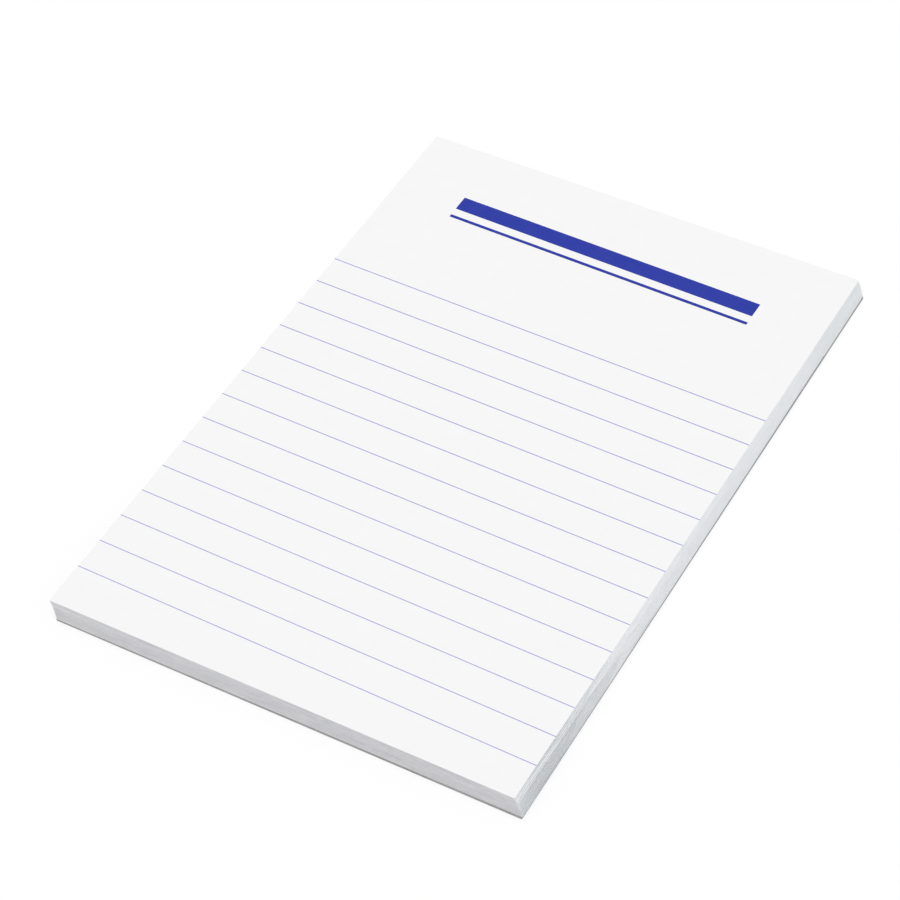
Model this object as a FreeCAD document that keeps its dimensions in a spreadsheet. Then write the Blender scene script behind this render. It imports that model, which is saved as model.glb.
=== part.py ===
"""Ruled pad of repositionable notes, built as a parametric FreeCAD document.

The pad is three pieces. A stack of sheets, each with an adhesive strip under its head, is pressed
together there, so it is a little thinner at the head than at its loose foot. Handling has pushed the
stack out of square: it leans to one side, and its sheets turn a little about the middle of their
adhesive strips, most of all those above the fan leaf, which sets them back at one corner of the foot.
The stack also spread under the knife, so it is cut a little wider at the bottom. The strip under the
lowest sheet holds it to a thin backing card, cut in the same stroke.

Frame, in millimetres: the origin is at the middle of the pad on the surface that it lies on, +Z is up,
+Y runs from the foot to the coated head, and +X runs across the sheet.
"""

import FreeCAD, Part
import math
import os

import Sketcher

PARTS_FOLDER = "parts"

# Every driving dimension, in millimetres, degrees, sheets or shares of a whole.
SIZES = {
    # The top sheet, and how much wider the lowest is cut, because the stack spreads under the knife
    "sheet_width": 101.6,
    "sheet_length": 152.4,
    "knife_draw": 0.5,
    "sheet_corner_radius": 0.2,
    "sheet_count": 50,
    # Height that each sheet takes up, pressed at the head and loose at the foot
    "head_pitch": 0.083,
    "foot_pitch": 0.098,
    # How far the lowest sheet stands out to +X of the top one, and how far the top one is turned from it
    "stack_lean": 0.93,
    "stack_turn": 0.12,
    # The knee leaf: its share of the stack's height, and the share of the lean that is below it
    "knee_height": 0.33,
    "knee_lean": 0.30,
    # The fan leaf, above which the sheets are fanned: the same, and the share of the turn below it
    "fan_height": 0.70,
    "fan_lean": 0.72,
    "fan_turned": 0.20,
    # The backing card: how far it stands out to +X of the lowest sheet, where the strip holds the two,
    # and how far it is turned the other way, which takes its edge back under the stack at the foot
    "card_thickness": 0.6,
    "card_corner_radius": 0.25,
    "card_standout": 0.08,
    "card_turn": 0.04,
    # The adhesive strip, across the whole width near the head
    "strip_length": 19.0,
    "strip_thickness": 0.05,
    "strip_head_gap": 1.0,
    # How far the recess for the strip runs past the sides of the sheet, so that it is open at both
    "recess_overrun": 2.0,
}

# The middle of a sheet's adhesive strip, which it turns about, as a distance from its head edge.
PIVOT_FROM_HEAD = "(Sizes.strip_head_gap + Sizes.strip_length / 2)"

# The sheets that the stack is lofted through, from the lowest up: its share of the height, the share of
# the lean that is below it, and the share of the turn that is below it.
LEAVES = {
    "bottom_leaf": ("0", "0", "0"),
    "knee_leaf": ("Sizes.knee_height", "Sizes.knee_lean", "0"),
    "fan_leaf": ("Sizes.fan_height", "Sizes.fan_lean", "Sizes.fan_turned"),
    "top_leaf": ("1", "1", "1"),
}


def make_sizes(doc):
    """Puts the driving dimensions in a spreadsheet, one named cell each."""
    sheet = doc.addObject("Spreadsheet::Sheet", "Sizes")
    for row, (name, value) in enumerate(SIZES.items(), start=1):
        sheet.set(f"A{row}", name)
        sheet.set(f"B{row}", str(value))
        sheet.setAlias(f"B{row}", name)
    doc.recompute()
    return sheet


def make_body(doc, label):
    """Makes an empty body whose label names the piece."""
    body = doc.addObject("PartDesign::Body", label)
    body.Label = label
    body.Placement = FreeCAD.Placement()
    return body


def half_width(height_share):
    """Gives the expression for half of the width that the stack is cut to, at a share of its height."""
    return f"(Sizes.sheet_width + Sizes.knife_draw * (1 - {height_share})) / 2"


def leaf_across(lean_share):
    """Gives the expression for how far to +X a leaf's middle is, with a share of the lean below it.

    Half of the lean goes to each end of the stack, and the lowest sheet's wider cut is made up for, so
    that the stack is centred on the origin.
    """
    return f"(Sizes.stack_lean * (0.5 - {lean_share}) - Sizes.knife_draw / 4)"


def place_expression(across, height, turn, tilt="0"):
    """Gives the expression for the place of a sketch whose origin is the middle of an adhesive strip.

    across is its shift to +X, height is the origin's own, and it turns and tilts about that origin.
    """
    along = f"Sizes.sheet_length / 2 - {PIVOT_FROM_HEAD}"
    return f"placement(vector({across}; {along}; {height}); rotation({turn}; 0; {tilt}))"


def leaf_place(leaf):
    """Gives the expression for the place of one leaf of the stack.

    Half of the turn goes to each end of the stack. The tilt is what the loose foot adds to the height
    below that leaf.
    """
    height_share, lean_share, turn_share = LEAVES[leaf]
    turn = f"Sizes.stack_turn * (0.5 - {turn_share})"
    sheets_below = f"Sizes.sheet_count * {height_share}"
    loosening = "(Sizes.foot_pitch - Sizes.head_pitch) / Sizes.sheet_length"
    pivot_pitch = f"(Sizes.head_pitch + {loosening} * {PIVOT_FROM_HEAD})"
    height = f"Sizes.card_thickness + {sheets_below} * {pivot_pitch}"
    tilt = f"-atan({sheets_below} * {loosening})"
    return place_expression(leaf_across(lean_share), height, turn, tilt)


def make_sketch(body, name, place):
    """Attaches an empty sketch to the body's own XY plane, moved by the expression in place."""
    sketch = body.newObject("Sketcher::SketchObject", name)
    roles = {feature.Role: feature for feature in body.Origin.OriginFeatures}
    sketch.AttachmentSupport = (roles["XY_Plane"], [""])
    sketch.MapMode = "FlatFace"
    sketch.setExpression("AttachmentOffset", place)
    return sketch


def draw_sides(sketch, left, right, low, high, trim):
    """Draws the four sides of a rectangle, counter-clockwise from the low one, each trimmed at both ends."""
    corners = (
        ((left + trim, low), (right - trim, low)),
        ((right, low + trim), (right, high - trim)),
        ((right - trim, high), (left + trim, high)),
        ((left, high - trim), (left, low + trim)),
    )
    for start, end in corners:
        sketch.addGeometry(Part.LineSegment(FreeCAD.Vector(*start, 0), FreeCAD.Vector(*end, 0)))
    for side, direction in enumerate(("Horizontal", "Vertical") * 2):
        sketch.addConstraint(Sketcher.Constraint(direction, side))


def hold_sides(sketch, sides):
    """Holds the four sides at their distances from the sketch's origin, each an expression."""
    origin = (-1, 1)
    # Each side as its two points, in the order that makes the distance positive, and its direction
    points = {
        "right": ("DistanceX", *origin, 1, 1),
        "left": ("DistanceX", 3, 1, *origin),
        "head": ("DistanceY", *origin, 2, 1),
        "foot": ("DistanceY", 0, 1, *origin),
    }
    for side, (drawn, expression) in sides.items():
        index = sketch.addConstraint(Sketcher.Constraint(*points[side], drawn))
        sketch.renameConstraint(index, f"{side}_side")
        sketch.setExpression(f"Constraints.{side}_side", expression)


def pivot_from_head():
    """Gives the distance from the head edge to the middle of the adhesive strip, as first drawn."""
    return SIZES["strip_head_gap"] + SIZES["strip_length"] / 2


def draw_outline(sketch, height_share, corner_radius):
    """Draws the outline of a sheet at a share of the stack's height: four sides and four round corners."""
    drawn_half_width = SIZES["sheet_width"] / 2
    head = pivot_from_head()
    foot = SIZES["sheet_length"] - head
    radius = SIZES[corner_radius]
    draw_sides(sketch, -drawn_half_width, drawn_half_width, -foot, head, radius)
    corners = (
        (drawn_half_width - radius, radius - foot),
        (drawn_half_width - radius, head - radius),
        (radius - drawn_half_width, head - radius),
        (radius - drawn_half_width, radius - foot),
    )
    quarter = math.pi / 2
    for corner, (centre_x, centre_y) in enumerate(corners):
        circle = Part.Circle(FreeCAD.Vector(centre_x, centre_y, 0), FreeCAD.Vector(0, 0, 1), radius)
        start = (corner - 1) * quarter
        arc = sketch.addGeometry(Part.ArcOfCircle(circle, start, start + quarter))
        next_side = (corner + 1) % 4
        sketch.addConstraint(Sketcher.Constraint("Tangent", corner, 2, arc, 1))
        sketch.addConstraint(Sketcher.Constraint("Tangent", arc, 2, next_side, 1))
    first_arc = 4
    for other_arc in range(first_arc + 1, first_arc + 4):
        sketch.addConstraint(Sketcher.Constraint("Equal", first_arc, other_arc))
    index = sketch.addConstraint(Sketcher.Constraint("Radius", first_arc, radius))
    sketch.renameConstraint(index, "corner_radius")
    sketch.setExpression("Constraints.corner_radius", f"Sizes.{corner_radius}")
    hold_sides(
        sketch,
        {
            "right": (drawn_half_width, half_width(height_share)),
            "left": (drawn_half_width, half_width(height_share)),
            "head": (head, PIVOT_FROM_HEAD),
            "foot": (foot, f"Sizes.sheet_length - {PIVOT_FROM_HEAD}"),
        },
    )


def draw_band(sketch, overrun):
    """Draws what the adhesive covers on the lowest sheet, with an overrun past each of its sides."""
    drawn_half_width = SIZES["sheet_width"] / 2
    half_strip = SIZES["strip_length"] / 2
    draw_sides(sketch, -drawn_half_width, drawn_half_width, -half_strip, half_strip, 0)
    for side in range(4):
        next_side = (side + 1) % 4
        sketch.addConstraint(Sketcher.Constraint("Coincident", side, 2, next_side, 1))
    hold_sides(
        sketch,
        {
            "right": (drawn_half_width, f"{half_width('0')} + {overrun}"),
            "left": (drawn_half_width, f"{half_width('0')} + {overrun}"),
            "head": (half_strip, "Sizes.strip_length / 2"),
            "foot": (half_strip, "Sizes.strip_length / 2"),
        },
    )


def make_sheet_block(doc):
    """Lofts the stack through its leaves, then cuts the recess that the adhesive strip lies in."""
    body = make_body(doc, "sheet_block")
    outlines = []
    for leaf in LEAVES:
        outline = make_sketch(body, f"{leaf}_outline", leaf_place(leaf))
        draw_outline(outline, LEAVES[leaf][0], "sheet_corner_radius")
        outlines.append(outline)
    stack = body.newObject("PartDesign::AdditiveLoft", "leaf_stack")
    stack.Profile = outlines[0]
    stack.Sections = outlines[1:]
    stack.Ruled = False
    stack.Closed = False
    doc.recompute()

    band = make_sketch(body, "recess_band", leaf_place("bottom_leaf"))
    draw_band(band, "Sizes.recess_overrun")
    recess = body.newObject("PartDesign::Pocket", "strip_recess")
    recess.Profile = band
    recess.Type = "Length"
    recess.Reversed = True
    recess.setExpression("Length", "Sizes.strip_thickness")
    body.Tip = recess
    return body


def make_adhesive_strip(doc):
    """Pads the adhesive strip, which fills the recess under the lowest sheet."""
    body = make_body(doc, "adhesive_strip")
    band = make_sketch(body, "strip_band", leaf_place("bottom_leaf"))
    draw_band(band, "0")
    coat = body.newObject("PartDesign::Pad", "adhesive_coat")
    coat.Profile = band
    coat.Type = "Length"
    coat.setExpression("Length", "Sizes.strip_thickness")
    body.Tip = coat
    return body


def make_backing_card(doc):
    """Pads the backing card from the surface that the pad lies on up to the lowest sheet."""
    body = make_body(doc, "backing_card")
    across = f"{leaf_across('0')} + Sizes.card_standout"
    outline = make_sketch(body, "card_outline", place_expression(across, "0", "-Sizes.card_turn"))
    draw_outline(outline, "0", "card_corner_radius")
    board = body.newObject("PartDesign::Pad", "card_board")
    board.Profile = outline
    board.Type = "Length"
    board.setExpression("Length", "Sizes.card_thickness")
    body.Tip = board
    return body


def check_document(doc, bodies):
    """Stops with a message if any feature failed, or if a piece isn't one whole solid."""
    for item in doc.Objects:
        if {"Invalid", "Error"} & set(item.State):
            raise RuntimeError(f"{item.Label} failed: {item.State}")
    for body in bodies:
        shape = body.Shape
        if shape.isNull() or not shape.isValid() or len(shape.Solids) != 1:
            raise RuntimeError(f"{body.Label} isn't one valid solid")


def check_recess(block, strip):
    """Stops with a message if the recess took nothing out of the stack, or less than the strip fills."""
    cut = block.getObject("leaf_stack").Shape.Volume - block.Shape.Volume
    if cut < 0.99 * strip.Shape.Volume:
        raise RuntimeError("the recess is smaller than the adhesive strip")


def export_parts(bodies):
    """Writes each piece to its own STEP file, named by its label."""
    os.makedirs(PARTS_FOLDER, exist_ok=True)
    for body in bodies:
        body.Shape.exportStep(os.path.join(PARTS_FOLDER, f"{body.Label}.step"))
        box = body.Shape.BoundBox
        size = f"{box.XLength:.2f} x {box.YLength:.2f} x {box.ZLength:.2f} mm"
        print(f"{body.Label}: {size}, {body.Shape.Volume / 1000:.2f} cm3, lowest at {box.ZMin:.3f} mm")


def main():
    """Builds the pad's three pieces, checks them and writes them."""
    doc = FreeCAD.newDocument("NotePad")
    make_sizes(doc)
    block = make_sheet_block(doc)
    strip = make_adhesive_strip(doc)
    card = make_backing_card(doc)
    bodies = [block, strip, card]
    doc.recompute()
    check_document(doc, bodies)
    check_recess(block, strip)
    export_parts(bodies)


if __name__ == "__main__":
    main()
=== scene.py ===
"""Ruled pad of repositionable notes: its looks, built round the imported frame.

The pad is a leaning, slightly fanned stack of thin sheets on a grey backing board. Each sheet is a leaf of
its own, pressed tight at the coated head and looser towards the foot. The top sheet carries the print: fine
rules from edge to edge, under a heading of one thick and one thin bar.

Lengths are in metres, unless their name ends in _mm. A name that ends in _deg is an angle in degrees.
"""

import logging
import math
import random
from abc import ABC, abstractmethod
from dataclasses import dataclass, field
from enum import Enum

import bmesh
import bpy
from mathutils import Matrix, Quaternion, Vector, noise

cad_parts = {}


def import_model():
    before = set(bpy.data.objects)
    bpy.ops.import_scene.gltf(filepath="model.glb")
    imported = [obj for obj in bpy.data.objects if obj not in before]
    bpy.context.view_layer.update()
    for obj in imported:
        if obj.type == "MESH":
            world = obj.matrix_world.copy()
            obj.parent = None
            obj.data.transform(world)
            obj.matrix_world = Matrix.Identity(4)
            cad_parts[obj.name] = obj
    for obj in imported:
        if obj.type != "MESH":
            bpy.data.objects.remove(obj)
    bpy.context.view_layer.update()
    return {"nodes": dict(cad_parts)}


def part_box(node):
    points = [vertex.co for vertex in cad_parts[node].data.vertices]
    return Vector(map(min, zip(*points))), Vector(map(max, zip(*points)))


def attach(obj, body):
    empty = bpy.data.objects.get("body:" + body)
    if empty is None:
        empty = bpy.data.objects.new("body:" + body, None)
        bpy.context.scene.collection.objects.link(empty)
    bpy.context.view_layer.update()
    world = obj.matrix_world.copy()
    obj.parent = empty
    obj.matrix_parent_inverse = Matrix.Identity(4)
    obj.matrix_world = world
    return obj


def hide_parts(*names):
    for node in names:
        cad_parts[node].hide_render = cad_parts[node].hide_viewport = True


MM = 0.001
MICRON = 0.000001
# A face is level where its normal's Z is over this
LEVEL = 0.5
LOG = logging.getLogger("note_pad")

Pair = tuple[float, float]
Triple = tuple[float, float, float]
Colour = Triple


class Slot(Enum):
    """The record's material slots."""

    SHEETS = "sheets"
    ADHESIVE = "adhesive"
    BACKING = "backing"


class CadNode(Enum):
    """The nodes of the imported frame."""

    BLOCK = "sheet_block"
    STRIP = "adhesive_strip"
    CARD = "backing_card"


class SheetPart(Enum):
    """The parts of a sheet that have a finish of their own, by the number that their faces hold."""

    PAGE = 0
    CUT_EDGE = 1


# --- Shader building ---


class Signal:
    """What one output of a shader gives. Signals that are numbers can be added, subtracted and multiplied."""

    def __init__(self, shader: "Shader", socket: bpy.types.NodeSocket) -> None:
        """Wraps an output of a shader."""
        self.shader = shader
        self.socket = socket

    def _maths(self, operation: str, first: "Number", second: "Number") -> "Signal":
        """Gives what a Math node of this operation makes of two numbers."""
        inputs = {"Value": first, "Value_001": second}
        return self.shader.node("ShaderNodeMath", {"operation": operation}, inputs, "Value")

    def __add__(self, other: "Number") -> "Signal":
        """Gives this signal plus another number."""
        return self._maths("ADD", self, other)

    def __radd__(self, other: "Number") -> "Signal":
        """Gives another number plus this signal."""
        return self._maths("ADD", other, self)

    def __sub__(self, other: "Number") -> "Signal":
        """Gives this signal less another number."""
        return self._maths("SUBTRACT", self, other)

    def __rsub__(self, other: "Number") -> "Signal":
        """Gives another number less this signal."""
        return self._maths("SUBTRACT", other, self)

    def __mul__(self, other: "Number") -> "Signal":
        """Gives this signal times another number."""
        return self._maths("MULTIPLY", self, other)

    def __rmul__(self, other: "Number") -> "Signal":
        """Gives another number times this signal."""
        return self._maths("MULTIPLY", other, self)

    def mixed(self, other: "Signal", share: float) -> "Signal":
        """Gives this signal with a share of another one in its place."""
        return other * share + self * (1 - share)

    def around(self, middle: float, spread: float) -> "Signal":
        """Gives a number that follows this pattern, and is in its middle where the pattern is 0.5."""
        return self * spread + (middle - spread / 2)


Number = float | Signal


class Shader:
    """The nodes of one material, or of the world."""

    def __init__(self, owner: bpy.types.Material | bpy.types.World) -> None:
        """Starts with no nodes.

        Args:
            owner: The material or world that they are for.
        """
        owner.use_nodes = True
        self.tree = owner.node_tree
        self.tree.nodes.clear()

    @staticmethod
    def _socket(sockets: bpy.types.bpy_prop_collection, name: str) -> bpy.types.NodeSocket:
        """Finds the socket that has this identifier, among a node's inputs or outputs."""
        return next(socket for socket in sockets if socket.identifier == name)

    def add(self, kind: str, settings: dict[str, object], inputs: dict[str, object]) -> bpy.types.Node:
        """Adds a node.

        Args:
            kind: The node's type.
            settings: Its properties, which are set first.
            inputs: A value or a signal for each socket, by the socket's identifier.

        Returns:
            The node.
        """
        made = self.tree.nodes.new(kind)
        for name, value in settings.items():
            setattr(made, name, value)
        for name, value in inputs.items():
            socket = self._socket(made.inputs, name)
            if isinstance(value, Signal):
                self.tree.links.new(value.socket, socket)
            else:
                socket.default_value = value
        return made

    def node(self, kind: str, settings: dict[str, object], inputs: dict[str, object], output: str) -> Signal:
        """Adds a node as above, and gives what its output of this identifier gives."""
        made = self.add(kind, settings, inputs)
        return Signal(self, self._socket(made.outputs, output))

    def own(self, axis: str) -> Signal:
        """Gives one of the surface's own coordinates: X across the pad, Y along it or Z up."""
        place = self.node("ShaderNodeTexCoord", {}, {}, "Object")
        return self.node("ShaderNodeSeparateXYZ", {}, {"Vector": place}, axis)

    def grain(self, stretch: Triple, detail: float = 2.0, wander: float = 0.0) -> Signal:
        """Gives a soft random pattern, which the piece keeps as it moves.

        Args:
            stretch: The length of its features along X, Y and Z.
            detail: How many finer patterns are added to it.
            wander: How far it is pulled about.

        Returns:
            A number that keeps near 0.5.
        """
        own = self.node("ShaderNodeTexCoord", {}, {}, "Object")
        scaled = {"Vector": own, "Vector_001": tuple(1 / length for length in stretch)}
        place = self.node("ShaderNodeVectorMath", {"operation": "MULTIPLY"}, scaled, "Vector")
        inputs = {"Vector": place, "Scale": 1.0, "Detail": detail, "Distortion": wander}
        return self.node("ShaderNodeTexNoise", {"noise_dimensions": "3D"}, inputs, "Fac")

    def fibres(self, size: Triple, detail: float, wander: float) -> Signal:
        """Gives matted fibres, half of them along the pad and half across it.

        Args:
            size: A fibre's width, length and thickness.
            detail: As for the grain.
            wander: As for the grain.

        Returns:
            A number that keeps near 0.5.
        """
        width, length, thickness = size
        lengthwise = self.grain((width, length, thickness), detail, wander)
        crosswise = self.grain((length, width, thickness), detail, wander)
        return (lengthwise + crosswise) * 0.5

    def step(self, signal: Signal, low: float, high: float) -> Signal:
        """Gives a soft step: 0 where the signal is under the low number, 1 where it is over the high one."""
        inputs = {"Value": signal, "From Min": low, "From Max": high}
        return self.node("ShaderNodeMapRange", {"interpolation_type": "SMOOTHSTEP"}, inputs, "Result")

    def blend(self, mask: Number, first: Colour | Signal, second: Colour | Signal) -> Signal:
        """Gives a colour between two others.

        Args:
            mask: 0 for the first colour, 1 for the second.
            first: The first colour.
            second: The second colour.

        Returns:
            The colour.
        """
        colours = [c if isinstance(c, Signal) else (*c, 1.0) for c in (first, second)]
        inputs = {"Factor_Float": mask, "A_Color": colours[0], "B_Color": colours[1]}
        return self.node("ShaderNodeMix", {"data_type": "RGBA"}, inputs, "Result_Color")

    def relief(self, height: Signal, depth: float) -> Signal:
        """Gives the normal of a surface in low relief, this deep between a height of 0 and of 1."""
        inputs = {"Strength": 1.0, "Distance": depth, "Height": height}
        return self.node("ShaderNodeBump", {}, inputs, "Normal")

    def mix_shaders(self, mask: Number, first: Signal, second: Signal) -> Signal:
        """Gives a mix of two shaders, from the first at 0 to the second at 1."""
        inputs = {"Fac": mask, "Shader": first, "Shader_001": second}
        return self.node("ShaderNodeMixShader", {}, inputs, "Shader")

    def principled(self, inputs: dict[str, object]) -> Signal:
        """Gives a Principled shader with these inputs."""
        return self.node("ShaderNodeBsdfPrincipled", {}, inputs, "BSDF")

    def seen(self) -> Signal:
        """Tells the rays of sight, straight or by way of gloss or glass, from those that carry light.

        Returns:
            1 for a ray of sight, and 0 for any other.
        """
        rays = ("Is Camera Ray", "Is Glossy Ray", "Is Transmission Ray")
        camera, glossy, through = (self.node("ShaderNodeLightPath", {}, {}, ray) for ray in rays)
        return camera + glossy + through

    def end(self, surface: Signal, kind: str = "ShaderNodeOutputMaterial") -> None:
        """Sends a shader to the surface, through an output node of this type."""
        self.add(kind, {}, {"Surface": surface})


# --- Finishes ---


class Finish(ABC):
    """A finish that a material of its name is made with."""

    name: str

    @abstractmethod
    def surface(self, shader: Shader) -> Signal:
        """Lays the finish's nodes, and gives the surface's shader."""

    def material(self) -> bpy.types.Material:
        """Makes the material.

        Returns:
            The material.
        """
        material = bpy.data.materials.new(self.name)
        shader = Shader(material)
        shader.end(self.surface(shader))
        return material


@dataclass(frozen=True)
class PaperFinish(Finish):
    """Uncoated white note paper: a faint cloudiness, and fine fibres that lie every way."""

    name: str = "note_paper"
    bright: Colour = (0.928, 0.928, 0.928)
    dull: Colour = (0.914, 0.914, 0.914)
    cloud: float = 4 * MM
    # Width, length and thickness
    fibre: Triple = (0.18 * MM, 0.45 * MM, 0.18 * MM)
    fibre_depth: float = 2.5 * MICRON
    # The clouds' share in the tone, and where it goes from dull to bright
    cloud_share: float = 0.6
    tone_limits: Pair = (0.3, 0.7)
    roughness: float = 0.82
    roughness_spread: float = 0.12

    def surface(self, shader: Shader) -> Signal:
        """Lays the nodes.

        Args:
            shader: The material's nodes.

        Returns:
            The surface's shader.
        """
        clouds = shader.grain((self.cloud,) * 3, detail=4.0)
        fibres = shader.fibres(self.fibre, detail=3.0, wander=1.5)
        tone = shader.step(fibres.mixed(clouds, self.cloud_share), *self.tone_limits)
        inputs = {
            "Base Color": shader.blend(tone, self.dull, self.bright),
            "Roughness": fibres.around(self.roughness, self.roughness_spread),
            "Normal": shader.relief(fibres, self.fibre_depth),
        }
        return shader.principled(inputs)


@dataclass(frozen=True)
class SideLine:
    """A line on the right side: a pale one is a painted highlight, a dark one a painted shadow."""

    # Along the pad: the line's head end and its foot end
    start: float
    end: float
    # Height at the head end
    height: float
    colour: Colour
    strength: float
    # How much it climbs in each length towards the foot
    climb: float = 0.0
    half_width: float = 0.36 * MM
    # Length that it fades out over at each end
    fade: float = 2.5 * MM

    def mask(self, shader: Shader) -> Signal:
        """Gives the line as a mask.

        Args:
            shader: The material's nodes.

        Returns:
            1 on the line, and 0 away from it.
        """
        along = shader.own("Y")
        off = shader.own("Z") - ((self.start - along) * self.climb + self.height)
        share = off * (1 / self.half_width)
        near = 1 - shader.step(share * share, 0.0, 1.0)
        begun = 1 - shader.step(along, self.start, self.start + self.fade)
        going = shader.step(along, self.end - self.fade, self.end)
        on_right = shader.step(shader.own("X"), 0.0, MM)
        return near * begun * going * on_right


@dataclass(frozen=True)
class CutEdgeFinish(Finish):
    """The cut edge of a stack of sheets: streaks along the leaves, and patches where the knife dragged.

    It has painted shade: it is a little greyer at the head, and much greyer along its sides towards the
    foot. The foot's edge has a darker tone of its own, which is painted shade too.
    """

    name: str = "cut_paper_edge"
    bright: Colour = (0.89, 0.902, 0.925)
    dull: Colour = (0.833, 0.851, 0.885)
    # Painted shade at the head: the side's tones there
    head_shade_bright: Colour = (0.845, 0.867, 0.886)
    head_shade_dull: Colour = (0.791, 0.818, 0.848)
    # Painted shade on the sides towards the foot
    side_shade_bright: Colour = (0.675, 0.703, 0.731)
    side_shade_dull: Colour = (0.56, 0.589, 0.618)
    # Painted shade on the foot's edge: its darker tones
    foot_shade_bright: Colour = (0.745, 0.745, 0.77)
    foot_shade_dull: Colour = (0.622, 0.625, 0.65)
    # Along the pad: where the painted shade at the head starts, and where it is full
    head_shade: Pair = (46 * MM, 58 * MM)
    # Along the pad: the painted shade on the sides starts below the first place and is full below the second
    unshaded_to: float = -38 * MM
    shade_full_from: float = -68 * MM
    # How ragged the line between the two is
    shade_ragged: float = 16 * MM
    # The painted shade starts with a wedge that points to the head: its tip's place and height, its slants
    # below and above the tip, its blur, how much softer it is above, and its share of the shade
    wedge_tip: float = -34.5 * MM
    wedge_height: float = 3.0 * MM
    wedge_slants: Pair = (1.6 / MM, 0.12 / MM)
    wedge_turn: float = 0.3 * MM
    wedge_blur: float = 2.5 * MM
    wedge_softening: float = 0.65
    wedge_share: float = 0.36
    # The upper sheets get less of the painted shade: from this height up, and by this share
    spared_above: float = 3.8 * MM
    spared_blur: float = 0.5 * MM
    spared_share: float = 0.12
    # The painted shade is weaker over the last length before the foot's cut, by this share
    lightened_length: float = 7 * MM
    lightened_share: float = 0.5
    # Along the pad: the foot's cut lies below this place, give or take this blur
    foot_from: float = -75.9 * MM
    foot_blur: float = 0.1 * MM
    # Painted highlights, in the edge's bright tone, and painted shadows, in the shaded tone
    side_lines: tuple[SideLine, ...] = (
        SideLine(-33 * MM, -47 * MM, 3.3 * MM, bright, strength=1.0, climb=0.06, half_width=0.34 * MM),
        SideLine(-24 * MM, -32 * MM, 1.0 * MM, side_shade_dull, strength=0.3),
        SideLine(-61 * MM, -80 * MM, 4.25 * MM, bright, strength=0.55, climb=0.058),
        SideLine(-56 * MM, -66 * MM, 5.12 * MM, side_shade_dull, strength=0.5, half_width=0.2 * MM),
    )
    # The stack's edge at the right of the foot has a painted highlight: where it would meet the ground, how
    # it leans in, how wide the highlight is, how near the edge it is full, the heights that it comes in at,
    # its strength
    corner_across: float = 51.68 * MM
    corner_lean: float = 0.298
    highlight_width: float = 0.45 * MM
    highlight_full_within: float = 0.15 * MM
    highlight_fade: Pair = (0.8 * MM, 4.8 * MM)
    highlight_strength: float = 0.5
    # A fainter painted highlight spreads from there along the upper part of the foot
    spread: float = 14 * MM
    spread_fade: Pair = (2.4 * MM, 5.2 * MM)
    spread_share: float = 0.36
    streak: Triple = (9 * MM, 9 * MM, 0.16 * MM)
    patch: Triple = (3.5 * MM, 3.5 * MM, 1.1 * MM)
    burr: float = 0.09 * MM
    # Shares of the streaks, patches and burrs in the tone, and where it goes from dull to bright
    tone_shares: Triple = (0.45, 0.4, 0.15)
    tone_limits: Pair = (0.32, 0.66)
    # Relief of the burrs and the streaks, and the streaks' share in it
    relief_depth: float = 6 * MICRON
    relief_streaks: float = 0.4
    roughness: float = 0.9
    roughness_spread: float = 0.1

    def surface(self, shader: Shader) -> Signal:
        """Lays the nodes.

        Args:
            shader: The material's nodes.

        Returns:
            The surface's shader.
        """
        streaks = shader.grain(self.streak)
        patches = shader.grain(self.patch, detail=3.0, wander=0.6)
        burrs = shader.grain((self.burr,) * 3)
        shares = self.tone_shares
        mixed = streaks * shares[0] + patches * shares[1] + burrs * shares[2]
        tone = shader.step(mixed, *self.tone_limits)
        # Painted shade: the sides greyer towards the head
        head_shade = shader.blend(tone, self.head_shade_dull, self.head_shade_bright)
        side_tone = shader.blend(tone, self.dull, self.bright)
        side_tone = shader.blend(shader.step(shader.own("Y"), *self.head_shade), side_tone, head_shade)
        # Painted shade: the sides greyer towards the foot
        side_shade = shader.blend(tone, self.side_shade_dull, self.side_shade_bright)
        # Painted shade: the foot's edge darker
        foot_shade = shader.blend(tone, self.foot_shade_dull, self.foot_shade_bright)
        side = shader.blend(self.unshaded(shader, patches), side_shade, side_tone)
        # Painted highlights and painted shadows along the right side
        for line in self.side_lines:
            side = shader.blend(line.mask(shader) * line.strength, side, line.colour)
        on_side = shader.step(shader.own("Y"), self.foot_from - self.foot_blur, self.foot_from)
        colour = shader.blend(on_side, foot_shade, side)
        inputs = {
            # Painted highlight at the corner at the right of the foot
            "Base Color": shader.blend(self.corner_highlight(shader) * self.highlight_strength, colour, self.bright),
            "Roughness": burrs.around(self.roughness, self.roughness_spread),
            "Normal": shader.relief(burrs.mixed(streaks, self.relief_streaks), self.relief_depth),
        }
        return shader.principled(inputs)

    def unshaded(self, shader: Shader, patches: Signal) -> Signal:
        """Gives how free of the painted shade the sides are.

        Args:
            shader: The material's nodes.
            patches: The pattern that makes the shade's edge ragged.

        Returns:
            1 where they are unshaded, and 0 where the painted shade is full.
        """
        along, height = shader.own("Y"), shader.own("Z")
        spared = shader.step(height, self.spared_above, self.spared_above + self.spared_blur)
        off = height - self.wedge_height
        above = shader.step(off, 0.0, self.wedge_turn)
        slant = above * (self.wedge_slants[1] - self.wedge_slants[0]) + self.wedge_slants[0]
        border = (along - self.wedge_tip) * (1 - above * self.wedge_softening) + off * off * slant
        wedge = shader.step(border, -self.wedge_blur, 0.0)
        ragged = along + (patches - 0.5) * self.shade_ragged
        gradual = 1 - shader.step(ragged, self.shade_full_from, self.unshaded_to)
        lightened = 1 - shader.step(along, self.foot_from, self.foot_from + self.lightened_length)
        kept = (1 - spared * self.spared_share) * (1 - lightened * self.lightened_share)
        return (1 - gradual * kept).mixed(wedge, self.wedge_share)

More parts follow.
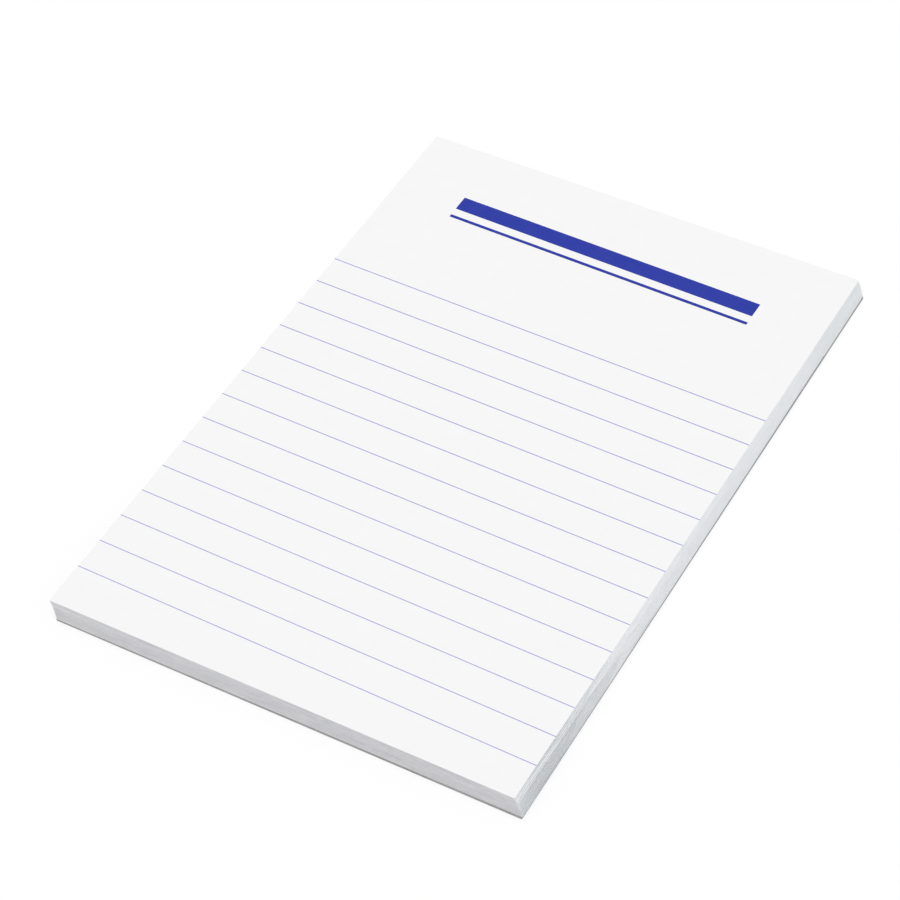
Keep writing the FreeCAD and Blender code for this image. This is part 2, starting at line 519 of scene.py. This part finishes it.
    def corner_highlight(self, shader: Shader) -> Signal:
        """Gives the painted highlight on the stack's edge at the right of the foot.

        Args:
            shader: The material's nodes.

        Returns:
            1 where the highlight is strongest, and 0 away from it.
        """
        along, height = shader.own("Y"), shader.own("Z")
        across = shader.own("X") + height * self.corner_lean
        full = self.corner_across - self.highlight_full_within
        near = shader.step(across, self.corner_across - self.highlight_width, full)
        near = near * (1 - shader.step(along, self.foot_from, self.foot_from + self.highlight_width))
        near = near * shader.step(height, *self.highlight_fade)
        spread = shader.step(across, self.corner_across - self.spread, self.corner_across)
        spread = spread * (1 - shader.step(along, self.foot_from - self.foot_blur, self.foot_from))
        spread = spread * shader.step(height, *self.spread_fade) * self.spread_share
        return near + spread * (1 - near)


@dataclass(frozen=True)
class InkFinish(Finish):
    """Offset ink on uncoated paper, which the fibres take unevenly. It is laid thinner towards the foot."""

    name: str
    colour: Colour
    foot_colour: Colour
    thin: Colour
    unevenness: float
    # Along the pad: where the ink is laid thinnest, and where fullest
    runs_out: Pair = (-68 * MM, 32 * MM)
    fleck: float = 0.22 * MM
    cloud: float = 3 * MM
    # The clouds' share in the unevenness, and where it goes from full to thin
    cloud_share: float = 0.3
    thin_limits: Pair = (0.42, 0.75)
    depth: float = 1.5 * MICRON
    roughness: float = 0.62
    # How much rougher it is where the paper shows through
    thin_roughness: float = 0.3
    gloss: float = 0.3

    def surface(self, shader: Shader) -> Signal:
        """Lays the nodes.

        Args:
            shader: The material's nodes.

        Returns:
            The surface's shader.
        """
        flecks = shader.grain((self.fleck,) * 3, detail=3.0, wander=0.8)
        clouds = shader.grain((self.cloud,) * 3)
        starved = shader.step(flecks.mixed(clouds, self.cloud_share), *self.thin_limits) * self.unevenness
        laid = shader.blend(shader.step(shader.own("Y"), *self.runs_out), self.foot_colour, self.colour)
        inputs = {
            "Base Color": shader.blend(starved, laid, self.thin),
            "Roughness": starved * self.thin_roughness + self.roughness,
            "Specular IOR Level": self.gloss,
            "Normal": shader.relief(flecks, self.depth),
        }
        return shader.principled(inputs)


@dataclass(frozen=True)
class BoardFinish(Finish):
    """Grey recycled board: matted fibres, with darker and paler flecks of old paper in it."""

    name: str = "grey_board"
    grey: Colour = (0.296, 0.290, 0.290)
    pale: Colour = (0.395, 0.388, 0.385)
    dark_fleck: Colour = (0.12, 0.115, 0.115)
    pale_fleck: Colour = (0.58, 0.57, 0.55)
    cloud: float = 6 * MM
    # Width, length and thickness
    fibre: Triple = (0.3 * MM, 1.2 * MM, 0.15 * MM)
    fibre_depth: float = 16 * MICRON
    # The clouds' share in the tone, and where it goes from grey to pale
    cloud_share: float = 0.4
    tone_limits: Pair = (0.36, 0.64)
    fleck: Triple = (0.7 * MM, 1.4 * MM, 0.7 * MM)
    # Where the flecks' pattern is so high it is dark, and so low it is pale, and how strong both are
    dark_limits: Pair = (0.68, 0.74)
    pale_limits: Pair = (0.27, 0.33)
    fleck_strength: float = 0.7
    roughness: float = 0.9
    roughness_spread: float = 0.16

    def surface(self, shader: Shader) -> Signal:
        """Lays the nodes.

        Args:
            shader: The material's nodes.

        Returns:
            The surface's shader.
        """
        clouds = shader.grain((self.cloud,) * 3, detail=4.0)
        fibres = shader.fibres(self.fibre, detail=4.0, wander=2.0)
        flecks = shader.grain(self.fleck, detail=1.0, wander=1.2)
        dark = shader.step(flecks, *self.dark_limits) * self.fleck_strength
        pale = (1 - shader.step(flecks, *self.pale_limits)) * self.fleck_strength
        tone = shader.step(fibres.mixed(clouds, self.cloud_share), *self.tone_limits)
        colour = shader.blend(tone, self.grey, self.pale)
        colour = shader.blend(dark, colour, self.dark_fleck)
        inputs = {
            "Base Color": shader.blend(pale, colour, self.pale_fleck),
            "Roughness": fibres.around(self.roughness, self.roughness_spread),
            "Normal": shader.relief(fibres, self.fibre_depth),
        }
        return shader.principled(inputs)


@dataclass(frozen=True)
class AdhesiveFinish(Finish):
    """Low-tack adhesive: a milky, satin coat with a pebbled surface."""

    name: str = "low_tack_adhesive"
    milky: Colour = (0.87, 0.88, 0.84)
    thin: Colour = (0.80, 0.82, 0.77)
    pebble: float = 0.35 * MM
    pebble_depth: float = 12 * MICRON
    cloud: float = 5 * MM
    # Where the clouds go from thin to milky
    milky_limits: Pair = (0.3, 0.7)
    roughness: float = 0.36
    roughness_spread: float = 0.2

    def surface(self, shader: Shader) -> Signal:
        """Lays the nodes.

        Args:
            shader: The material's nodes.

        Returns:
            The surface's shader.
        """
        pebbles = shader.grain((self.pebble,) * 3, detail=1.5)
        clouds = shader.grain((self.cloud,) * 3, detail=3.0)
        inputs = {
            "Base Color": shader.blend(shader.step(clouds, *self.milky_limits), self.thin, self.milky),
            "Roughness": pebbles.around(self.roughness, self.roughness_spread),
            "Normal": shader.relief(pebbles, self.pebble_depth),
        }
        return shader.principled(inputs)


@dataclass(frozen=True)
class FloorFinish(Finish):
    """A pale floor that looks white and still takes the pad's shadow. It can't be seen from below."""

    name: str = "pale_floor"
    lit: Colour = (0.80, 0.80, 0.80)
    shown: Colour = (1.0, 1.0, 1.0)
    glow_share: float = 0.6

    def surface(self, shader: Shader) -> Signal:
        """Lays the nodes.

        Args:
            shader: The material's nodes.

        Returns:
            The surface's shader.
        """
        seen = shader.seen()
        colour = shader.blend(seen, self.lit, self.shown)
        matt = shader.node("ShaderNodeBsdfDiffuse", {}, {"Color": colour}, "BSDF")
        glow = shader.node("ShaderNodeEmission", {}, {"Strength": 1.0}, "Emission")
        above = shader.mix_shaders(seen * self.glow_share, matt, glow)
        clear = shader.node("ShaderNodeBsdfTransparent", {}, {}, "BSDF")
        below = shader.node("ShaderNodeNewGeometry", {}, {}, "Backfacing")
        return shader.mix_shaders(below, above, clear)


# --- Pieces ---


def add_object(name: str, data: bpy.types.ID) -> bpy.types.Object:
    """Puts a mesh, a lamp or a camera into the scene.

    Args:
        name: The object's name.
        data: What it is made of.

    Returns:
        The object.
    """
    made = bpy.data.objects.new(name, data)
    bpy.context.scene.collection.objects.link(made)
    return made


def add_mesh(bm: bmesh.types.BMesh, name: str, finishes: list[bpy.types.Material]) -> bpy.types.Object:
    """Puts a finished mesh into the scene.

    Args:
        bm: The mesh, in the frame. It is freed.
        name: The object's name.
        finishes: Its materials, by the numbers that its faces hold.

    Returns:
        The object.
    """
    mesh = bpy.data.meshes.new(name)
    bm.to_mesh(mesh)
    bm.free()
    for finish in finishes:
        mesh.materials.append(finish)
    return add_object(name, mesh)


def settle(bm: bmesh.types.BMesh, name: str, finishes: list[bpy.types.Material]) -> None:
    """Makes a piece of a finished mesh, which rides on the pad's one body and stands in for its sheets.

    Args:
        bm: The mesh, in the frame. It is freed.
        name: The piece's name.
        finishes: Its materials, by the numbers that its faces hold.
    """
    bmesh.ops.recalc_face_normals(bm, faces=bm.faces[:])
    piece = add_mesh(bm, name, finishes)
    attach(piece, "root")
    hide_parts(CadNode.BLOCK.value)
    LOG.info("%s: %d faces", name, len(piece.data.polygons))


@dataclass(frozen=True)
class Leaf:
    """Where one sheet lies. Its own origin is in its upper face, in the middle of its adhesive."""

    number: int
    widening: float
    across: float
    along: float
    turn_deg: float
    head_height: float
    foot_height: float
    head_gap: float
    foot_gap: float

    def matrix(self, stack: "StackShape") -> Matrix:
        """Gives the sheet's place in the frame.

        Args:
            stack: The stack that it belongs to.

        Returns:
            The matrix that moves the flat sheet there.
        """
        rise = (self.foot_height - self.head_height) / stack.sheet_length
        height = self.head_height + rise * stack.pivot_from_head
        moved = Matrix.Translation((self.across, stack.pivot_y + self.along, height))
        turned = Matrix.Rotation(math.radians(self.turn_deg), 4, "Z")
        tilted = Matrix.Rotation(-math.atan(rise), 4, "X")
        return moved @ turned @ tilted


def between(share: float, stops: tuple[Pair, ...]) -> float:
    """Reads a line through stops.

    Args:
        share: Where to read it, from 0 to 1.
        stops: The line's points, from the lowest to the highest.

    Returns:
        The line's value there.
    """
    for (low, low_value), (high, high_value) in zip(stops, stops[1:]):
        if share <= high:
            return low_value + (high_value - low_value) * (share - low) / (high - low)
    return stops[-1][1]


@dataclass(frozen=True)
class StackShape:
    """The shape of the stack: how it leans, fans out and loosens towards the foot."""

    sheet_width: float = 101.6 * MM
    sheet_length: float = 152.4 * MM
    corner_radius: float = 0.2 * MM
    sheet_count: int = 50
    # How much wider the lowest sheet is cut than the top one
    knife_draw: float = 0.5 * MM
    # Middle of the adhesive strip, which each sheet turns about, from the head edge
    pivot_from_head: float = 10.5 * MM
    # How far the lowest sheet stands out to +X of the top one, and the turn between the two
    lean: float = 0.93 * MM
    turn_deg: float = 0.12
    # Share of the lean that is below a share of the height
    lean_line: tuple[Pair, ...] = ((0.0, 0.0), (0.33, 0.30), (0.70, 0.72), (1.0, 1.0))
    # The fan: the sheet that each packet starts with, and its share of the turn. A ledge shows under it.
    packets: tuple[tuple[int, float], ...] = ((36, 0.45), (41, 0.35), (46, 0.20))
    # Thickness of the stack at the pressed head, as a share of its thickness at the foot
    head_press: float = 0.847
    # Share of the foot's thickness that is below a share of the sheets, looser below the fan
    foot_line: tuple[Pair, ...] = ((0.0, 0.0), (0.70, 0.725), (1.0, 1.0))
    # Thickness of a sheet, as a share of the room that it has at the head
    paper_share: float = 0.97
    # How far out of line a sheet may have been cut and laid
    play: float = 0.02 * MM
    turn_play_deg: float = 0.004
    seed: int = 7

    low: float = field(init=False)
    high: float = field(init=False)
    head_low: float = field(init=False)

    def __post_init__(self) -> None:
        """Reads the heights that the stack lies between from the frame."""
        block_low, block_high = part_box(CadNode.BLOCK.value)
        strip_low, strip_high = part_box(CadNode.STRIP.value)
        lift = (strip_high.z - block_low.z) / (strip_low.y + self.sheet_length / 2)
        object.__setattr__(self, "low", block_low.z)
        object.__setattr__(self, "high", block_high.z)
        object.__setattr__(self, "head_low", block_low.z + lift * self.sheet_length)

    @property
    def pivot_y(self) -> float:
        """The adhesive strip's middle, along the pad."""
        return self.sheet_length / 2 - self.pivot_from_head

    @property
    def head_room(self) -> float:
        """The height that one sheet has at the head."""
        head_high = self.low + self.head_press * (self.high - self.low)
        return (head_high - self.head_low) / self.sheet_count

    @property
    def paper(self) -> float:
        """The thickness of a sheet."""
        return self.paper_share * self.head_room

    @property
    def turn_spare(self) -> float:
        """How much smaller a sheet is so that its random turn stays within the stack."""
        return 2 * self.sheet_length * math.radians(self.turn_play_deg)

    def turned(self, leaf: int) -> float:
        """Gives the share of the turn that is below a sheet, by its number from 0 at the bottom."""
        return sum(share for start, share in self.packets if leaf >= start)

    def foot_top(self, leaf: int) -> float:
        """Gives the height of a sheet's upper face at the foot, where -1 is the face that they all lie on."""
        share = between((leaf + 1) / self.sheet_count, self.foot_line)
        return self.low + share * (self.high - self.low)

    def leaves(self) -> list[Leaf]:
        """Works out where each sheet lies.

        Returns:
            The sheets, from the lowest up.
        """
        chance = random.Random(self.seed)
        made = []
        for number in range(self.sheet_count):
            leaned = between((number + 0.5) / self.sheet_count, self.lean_line)
            # The last term keeps the stack, which is wider below, centred on the frame
            across = self.lean * (0.5 - leaned) - self.knife_draw / 4
            turn_deg = self.turn_deg * (0.5 - self.turned(number))
            made.append(
                Leaf(
                    number=number,
                    widening=self.knife_draw * (1 - (number + 1) / self.sheet_count),
                    across=across + chance.uniform(-self.play, self.play),
                    along=chance.uniform(-self.play, self.play),
                    turn_deg=turn_deg + chance.uniform(-self.turn_play_deg, self.turn_play_deg),
                    head_height=self.head_low + (number + 1) * self.head_room,
                    foot_height=self.foot_top(number),
                    head_gap=self.head_room - self.paper,
                    foot_gap=self.foot_top(number) - self.foot_top(number - 1) - self.paper,
                )
            )
        return made

    def blank(self, cells: tuple[int, int], corner_steps: int) -> bmesh.types.BMesh:
        """Makes one flat sheet in its own place, with its upper face at height 0.

        Args:
            cells: How many cells its faces have across and along.
            corner_steps: How many edges each round corner has.

        Returns:
            The sheet, whose faces hold the numbers of their finishes.
        """
        spare = 2 * self.play + self.turn_spare
        width, length = self.sheet_width - spare, self.sheet_length - spare
        middle = Matrix.Translation((0, self.pivot_from_head - self.sheet_length / 2, 0))
        bm = bmesh.new()
        bmesh.ops.create_grid(
            bm,
            x_segments=cells[0],
            y_segments=cells[1],
            size=0.5,
            matrix=middle @ Matrix.Diagonal((width, length, 1, 1)),
        )
        corners = [vertex for vertex in bm.verts if len(vertex.link_faces) == 1]
        bmesh.ops.bevel(
            bm,
            geom=corners,
            offset=self.corner_radius,
            offset_type="OFFSET",
            segments=corner_steps,
            profile=0.5,
            affect="VERTICES",
            material=-1,
        )
        bmesh.ops.solidify(bm, geom=bm.faces[:], thickness=self.paper)
        bmesh.ops.recalc_face_normals(bm, faces=bm.faces[:])
        highest = max(vertex.co.z for vertex in bm.verts)
        bmesh.ops.translate(bm, verts=bm.verts[:], vec=(0, 0, -highest))
        for face in bm.faces:
            part = SheetPart.PAGE if abs(face.normal.z) > LEVEL else SheetPart.CUT_EDGE
            face.material_index = part.value
        return bm


@dataclass
class LeafStack:
    """Every sheet but the top one, each a leaf of its own."""

    shape: StackShape
    cells: tuple[int, int] = (8, 10)
    corner_steps: int = 4
    # Width of the rim of a sheet's face that is rubbed like its cut edge
    rubbed_rim: float = 0.025 * MM
    # Length of the waves of the loose sheets, across and along, and how many sheets share one
    wave: Pair = (21 * MM, 34 * MM)
    sheets_in_wave: float = 2.2
    # How strong the waves are, and the most that a sheet sinks, both as shares of the gap under it
    wave_share: float = 0.8
    most_sag: float = 0.95

    def build(self, finishes: list[bpy.types.Material]) -> None:
        """Builds the piece.

        Args:
            finishes: The materials of the sheets' faces and of their cut edges.
        """
        blank = self.shape.blank(self.cells, self.corner_steps)
        upper = [face for face in blank.faces if face.normal.z > LEVEL]
        rim = bmesh.ops.inset_region(blank, faces=upper, thickness=self.rubbed_rim, use_even_offset=True)
        for face in rim["faces"]:
            face.material_index = SheetPart.CUT_EDGE.value
        pattern = bpy.data.meshes.new("blank")
        blank.to_mesh(pattern)
        blank.free()
        bm = bmesh.new()
        for leaf in self.shape.leaves()[:-1]:
            known = len(bm.verts)
            bm.from_mesh(pattern)
            bm.verts.ensure_lookup_table()
            fresh = bm.verts[known:]
            bmesh.ops.scale(bm, verts=fresh, vec=(1 + leaf.widening / self.shape.sheet_width, 1, 1))
            self.sag(fresh, leaf)
            bmesh.ops.transform(bm, matrix=leaf.matrix(self.shape), verts=fresh)
        bpy.data.meshes.remove(pattern)
        settle(bm, "leaf_stack", finishes)

    def sag(self, vertices: list[bmesh.types.BMVert], leaf: Leaf) -> None:
        """Lets a sheet sink here and there into the gap under it, so that no two gaps look alike.

        Args:
            vertices: The sheet's vertices, in its own place.
            leaf: The sheet.
        """
        for vertex in vertices:
            along = (self.shape.pivot_from_head - vertex.co.y) / self.shape.sheet_length
            gap = leaf.head_gap + (leaf.foot_gap - leaf.head_gap) * along
            across, back = vertex.co.x / self.wave[0], vertex.co.y / self.wave[1]
            drift = noise.noise(Vector((across, back, leaf.number / self.sheets_in_wave)))
            share = min(max(0.5 + self.wave_share * drift, 0.0), 1.0)
            vertex.co.z -= self.most_sag * gap * share


@dataclass
class TopSheet:
    """The sheet that is written on."""

    shape: StackShape
    cells: tuple[int, int] = (4, 6)
    corner_steps: int = 8
    rim_round: float = 0.012 * MM
    rim_steps: int = 2

    @property
    def leaf(self) -> Leaf:
        """Where the top sheet lies."""
        return self.shape.leaves()[-1]

    def build(self, finishes: list[bpy.types.Material]) -> None:
        """Builds the piece.

        Args:
            finishes: The materials of the sheet's faces and of its cut edges.
        """
        bm = self.shape.blank(self.cells, self.corner_steps)
        rims = [edge for edge in bm.edges if len({face.material_index for face in edge.link_faces}) == 2]
        rounded = bmesh.ops.bevel(
            bm,
            geom=rims,
            offset=self.rim_round,
            offset_type="OFFSET",
            segments=self.rim_steps,
            profile=0.5,
            affect="EDGES",
            material=-1,
        )
        for face in rounded["faces"]:
            face.material_index = SheetPart.CUT_EDGE.value
        bmesh.ops.transform(bm, matrix=self.leaf.matrix(self.shape), verts=bm.verts[:])
        settle(bm, "top_sheet", finishes)


@dataclass
class Print:
    """The ink on the top sheet: the rules that are written on, and the bars of the heading."""

    sheet: TopSheet
    film: float = 0.01 * MM
    # The print is not quite square to the sheet
    skew_deg: float = -0.87
    rule_count: int = 14
    rule_pitch: float = 7.53 * MM
    rule_width: float = 0.175 * MM
    # How much longer than the sheet's width a rule is before it is trimmed
    rule_excess: float = 2 * MM
    first_rule_from_head: float = 45.3 * MM
    heading_from_head: float = 17.5 * MM
    heading_width: float = 71 * MM
    # How far each bar of the heading is below the first, and its height
    heading_bars: tuple[Pair, ...] = ((0.0, 4.0 * MM), (4.4 * MM, 0.8 * MM))

    def bar(self, bm: bmesh.types.BMesh, from_head: float, width: float, height: float) -> None:
        """Prints one bar across the middle of the sheet.

        Args:
            bm: The mesh that the bar is added to, in the sheet's own place.
            from_head: From the sheet's head edge to the bar's middle.
            width: The bar's width across the sheet.
            height: Its height along the sheet.
        """
        shape = self.sheet.shape
        skewed = Matrix.Rotation(math.radians(self.skew_deg), 4, "Z")
        middle = Matrix.Translation((0, shape.pivot_from_head - from_head, 0))
        size = Matrix.Diagonal((width, height, 1, 1))
        bmesh.ops.create_grid(bm, x_segments=1, y_segments=1, size=0.5, matrix=middle @ skewed @ size)

    def cover(self, bm: bmesh.types.BMesh, name: str, ink: bpy.types.Material) -> None:
        """Trims flat bars at the sheet's sides, gives them the ink's thickness and lays them on the sheet.

        Args:
            bm: The bars, in the sheet's own place.
            name: The piece's name.
            ink: Its material.
        """
        shape = self.sheet.shape
        side = (shape.sheet_width - shape.turn_spare) / 2 - shape.play - self.sheet.rim_round
        for sign in (-1, 1):
            bmesh.ops.bisect_plane(
                bm,
                geom=[*bm.verts, *bm.edges, *bm.faces],
                plane_co=(sign * side, 0, 0),
                plane_no=(sign, 0, 0),
                clear_outer=True,
            )
        bmesh.ops.solidify(bm, geom=bm.faces[:], thickness=self.film)
        lowest = min(vertex.co.z for vertex in bm.verts)
        bmesh.ops.translate(bm, verts=bm.verts[:], vec=(0, 0, -lowest))
        bmesh.ops.transform(bm, matrix=self.sheet.leaf.matrix(shape), verts=bm.verts[:])
        settle(bm, name, [ink])

    def build_rules(self, ink: bpy.types.Material) -> None:
        """Builds the rules, which run from edge to edge.

        Args:
            ink: Their material.
        """
        bm = bmesh.new()
        width = self.sheet.shape.sheet_width + self.rule_excess
        for rule in range(self.rule_count):
            self.bar(bm, self.first_rule_from_head + rule * self.rule_pitch, width, self.rule_width)
        self.cover(bm, "printed_rules", ink)

    def build_heading(self, ink: bpy.types.Material) -> None:
        """Builds the heading's bars.

        Args:
            ink: Their material.
        """
        bm = bmesh.new()
        for lower, height in self.heading_bars:
            self.bar(bm, self.heading_from_head + lower, self.heading_width, height)
        self.cover(bm, "printed_heading", ink)


def cover_node(node: bpy.types.Object, finish: bpy.types.Material) -> None:
    """Gives one of the frame's own nodes its finish."""
    node.data.materials.clear()
    node.data.materials.append(finish)


@dataclass
class BackingBoard:
    """The backing card. Its shape is the frame's own, with its rims rubbed a little round."""

    rim_round: float = 0.06 * MM
    rim_steps: int = 2
    weld_within: float = 1 * MICRON
    # Faces that meet at less than the first angle are one flat face, and rims are sharper than the second
    flat_within_deg: float = 1.0
    rim_from_deg: float = 60.0

    def dress(self, node: bpy.types.Object, finish: bpy.types.Material) -> None:
        """Softens the card's rims and gives it its finish.

        Args:
            node: The frame's own card.
            finish: Its material.
        """
        weld = node.modifiers.new("join_triangles", "WELD")
        weld.merge_threshold = self.weld_within
        flat = node.modifiers.new("clear_flat_faces", "DECIMATE")
        flat.decimate_type = "DISSOLVE"
        flat.angle_limit = math.radians(self.flat_within_deg)
        rims = node.modifiers.new("rub_rims", "BEVEL")
        rims.width = self.rim_round
        rims.segments = self.rim_steps
        rims.limit_method = "ANGLE"
        rims.angle_limit = math.radians(self.rim_from_deg)
        cover_node(node, finish)
        LOG.info("%s: rims rounded to %.2f mm", node.name, self.rim_round / MM)


@dataclass
class AdhesiveCoat:
    """The adhesive under the lowest sheet. Its shape is the frame's own."""

    def dress(self, node: bpy.types.Object, finish: bpy.types.Material) -> None:
        """Gives the strip its finish."""
        cover_node(node, finish)
        LOG.info("%s: dressed", node.name)


# --- Studio ---


def direction(azimuth_deg: float, elevation_deg: float) -> Vector:
    """Gives the direction from the pad to a place round it.

    Args:
        azimuth_deg: How far round from the foot towards +X the place is.
        elevation_deg: How high it is.

    Returns:
        The direction, with a length of 1.
    """
    azimuth, elevation = math.radians(azimuth_deg), math.radians(elevation_deg)
    across = math.cos(elevation)
    return Vector((math.sin(azimuth) * across, -math.cos(azimuth) * across, math.sin(elevation)))


@dataclass(frozen=True)
class Camera:
    """The camera, which looks down on the pad from in front and to its right."""

    aim: Triple = (-3.52 * MM, -4.10 * MM, 2.75 * MM)
    distance: float = 611.1 * MM
    azimuth_deg: float = 31.18
    elevation_deg: float = 46.85
    roll_deg: float = -2.91
    lens_mm: float = 121.58
    sensor_mm: float = 36.0
    # The nearest and farthest that it sees, as shares of its distance
    clip_shares: Pair = (0.05, 50.0)

    def build(self) -> None:
        """Makes it the scene's camera."""
        back = direction(self.azimuth_deg, self.elevation_deg)
        data = bpy.data.cameras.new("camera")
        data.lens = self.lens_mm
        data.sensor_width = self.sensor_mm
        data.clip_start, data.clip_end = (share * self.distance for share in self.clip_shares)
        camera = add_object("camera", data)
        camera.location = Vector(self.aim) + back * self.distance
        camera.rotation_mode = "QUATERNION"
        roll = Quaternion((0, 0, 1), math.radians(self.roll_deg))
        camera.rotation_quaternion = (-back).to_track_quat("-Z", "Y") @ roll
        bpy.context.scene.camera = camera


@dataclass(frozen=True)
class Lamp:
    """A soft lamp so far off that it lights the whole pad alike."""

    # Direction that the light comes from
    azimuth_deg: float = 20.0
    elevation_deg: float = 70.0
    softness_deg: float = 35.0
    strength: float = 1.35

    def build(self) -> None:
        """Makes the lamp."""
        source = direction(self.azimuth_deg, self.elevation_deg)
        data = bpy.data.lights.new("front_lamp", "SUN")
        data.energy = self.strength
        data.angle = math.radians(self.softness_deg)
        lamp = add_object("front_lamp", data)
        lamp.rotation_mode = "QUATERNION"
        lamp.rotation_quaternion = source.to_track_quat("Z", "Y")


@dataclass
class Studio:
    """The plain white room that the pad is shown in."""

    camera: Camera = Camera()
    lamp: Lamp = Lamp()
    room_light: float = 0.6
    floor_size: float = 6.0
    # How far inside the card's outline the opening in the floor under it is
    opening_inset: float = 0.16 * MM

    def build(self) -> None:
        """Makes the camera, the lamp, the room's own light and the floor."""
        self.camera.build()
        self.lamp.build()
        self.build_room()
        self.build_floor()
        bpy.context.scene.view_settings.view_transform = "Standard"

    def build_room(self) -> None:
        """Makes the world, which is white to the eye and gives an even light."""
        world = bpy.data.worlds.new("white_room")
        bpy.context.scene.world = world
        shader = Shader(world)
        white = (1.0, 1.0, 1.0, 1.0)
        light, shown = (
            shader.node("ShaderNodeBackground", {}, {"Color": white, "Strength": strength}, "Background")
            for strength in (self.room_light, 1.0)
        )
        shader.end(shader.mix_shaders(shader.seen(), light, shown), "ShaderNodeOutputWorld")

    def build_floor(self) -> None:
        """Makes the floor, with an opening that the card covers, so that the pad can be seen from below."""
        low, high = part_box(CadNode.CARD.value)
        width, length = (high - low - Vector((2 * self.opening_inset,) * 3)).xy
        centre = (low + high) / 2
        bm = bmesh.new()
        opening = Matrix.Translation((centre.x, centre.y, low.z)) @ Matrix.Diagonal((width, length, 1, 1))
        bmesh.ops.create_grid(bm, x_segments=1, y_segments=1, size=0.5, matrix=opening)
        inner = bm.faces[:]
        made = bmesh.ops.extrude_edge_only(bm, edges=bm.edges[:])
        outer = [item for item in made["geom"] if isinstance(item, bmesh.types.BMVert)]
        bmesh.ops.scale(bm, vec=(self.floor_size / width, self.floor_size / length, 1), verts=outer)
        bmesh.ops.delete(bm, geom=inner, context="FACES_ONLY")
        bmesh.ops.recalc_face_normals(bm, faces=bm.faces[:])
        if bm.faces[:][0].normal.z < 0:
            bmesh.ops.reverse_faces(bm, faces=bm.faces[:])
        floor = add_mesh(bm, "floor", [FloorFinish().material()])


RULE_INK = InkFinish(
    "rule_ink",
    colour=(0.165, 0.165, 0.60),
    foot_colour=(0.29, 0.29, 0.66),
    thin=(0.49, 0.49, 0.77),
    unevenness=0.25,
)
HEADING_INK = InkFinish(
    "heading_ink",
    colour=(0.012, 0.030, 0.345),
    foot_colour=(0.03, 0.05, 0.38),
    thin=(0.10, 0.13, 0.50),
    unevenness=0.16,
)


def main() -> None:
    """Builds the pad round the frame, and the studio round the pad."""
    logging.basicConfig(level=logging.INFO, format="%(name)s: %(message)s")
    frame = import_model()
    paper = [PaperFinish().material(), CutEdgeFinish().material()]
    shape = StackShape()
    LeafStack(shape).build(paper)
    top_sheet = TopSheet(shape)
    top_sheet.build(paper)
    ink = Print(top_sheet)
    ink.build_rules(RULE_INK.material())
    ink.build_heading(HEADING_INK.material())
    BackingBoard().dress(frame["nodes"][CadNode.CARD.value], BoardFinish().material())
    AdhesiveCoat().dress(frame["nodes"][CadNode.STRIP.value], AdhesiveFinish().material())
    Studio().build()


if __name__ == "__main__":
    main()
